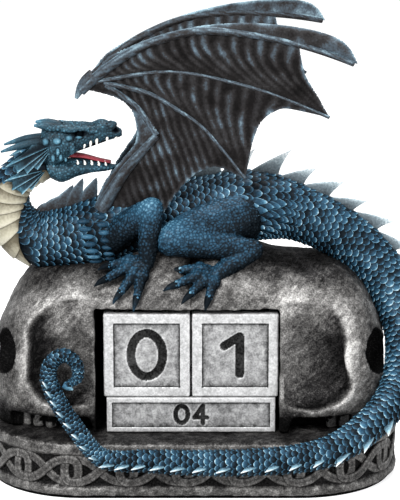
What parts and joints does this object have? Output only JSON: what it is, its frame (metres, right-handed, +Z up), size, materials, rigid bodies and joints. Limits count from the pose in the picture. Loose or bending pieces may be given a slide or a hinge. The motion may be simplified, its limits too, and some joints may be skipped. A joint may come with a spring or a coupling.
{
  "type": "figurine perpetual desk calendar",
  "caption": "Dragon lying over twin skulls on an oval knotwork plinth; a niche between the skulls holds loose number cubes above month bars, as a perpetual desk calendar.",
  "frame": {"origin": "middle of the underside of the felt, on the surface the figurine stands on", "axes": "+X to the dragon's tail as seen from the front, +Y to the back, +Z up"},
  "size_m": [0.1789, 0.0971, 0.1806],
  "materials": {
    "antiqued_stone_grey": "cast resin, antiqued dark in the hollows and dry-brushed silver grey",
    "antiqued_silver": "cast resin, antiqued silver",
    "scaled_hide": "cast resin, near black with blue dry-brushed scales",
    "wing_membrane": "cast resin, charcoal with pale blue-grey ribs",
    "horn_grey": "cast resin, grey with white tips",
    "ivory": "cast resin, painted off-white",
    "tongue_red": "cast resin, painted red",
    "felt": "black felt sheet"
  },
  "bodies": {
    "figurine": {"felt_base": "felt", "plinth": "antiqued_stone_grey", "left_skull": "antiqued_stone_grey", "right_skull": "antiqued_stone_grey", "dragon_torso": "scaled_hide", "dragon_neck": "scaled_hide", "dragon_head": "scaled_hide", "lower_jaw": "scaled_hide", "tongue": "tongue_red", "upper_teeth": "ivory", "lower_teeth": "ivory", "horns": "horn_grey", "near_cheek_fins": "horn_grey", "far_cheek_fins": "horn_grey", "near_wing": "wing_membrane", "far_wing": "wing_membrane", "near_foreleg": "scaled_hide", "far_foreleg": "scaled_hide", "near_hind_leg": "scaled_hide", "far_hind_leg": "scaled_hide", "neck_spines": "horn_grey", "back_spines": "horn_grey", "tail_root": "scaled_hide", "tail_side": "scaled_hide", "tail_front": "scaled_hide", "tail_tip": "scaled_hide", "tail_spines": "horn_grey"},
    "tens_cube": {"tens_cube": "antiqued_silver"},
    "units_cube": {"units_cube": "antiqued_silver"},
    "rear_month_bar": {"rear_month_bar": "antiqued_silver"},
    "middle_month_bar": {"middle_month_bar": "antiqued_silver"},
    "front_month_bar": {"front_month_bar": "antiqued_silver"}
  },
  "joints": [
    {"name": "tens_cube_slide", "type": "slide", "parent": "figurine", "child": "tens_cube", "axis": [0, -1, 0], "range_m": [0, 0.045]},
    {"name": "units_cube_slide", "type": "slide", "parent": "figurine", "child": "units_cube", "axis": [0, -1, 0], "range_m": [0, 0.045]},
    {"name": "rear_bar_slide", "type": "slide", "parent": "figurine", "child": "rear_month_bar", "axis": [0, -1, 0], "range_m": [0, 0.05]},
    {"name": "middle_bar_slide", "type": "slide", "parent": "rear_month_bar", "child": "middle_month_bar", "axis": [0, -1, 0], "range_m": [0, 0.022]},
    {"name": "front_bar_slide", "type": "slide", "parent": "middle_month_bar", "child": "front_month_bar", "axis": [0, -1, 0], "range_m": [0, 0.022]}
  ]
}
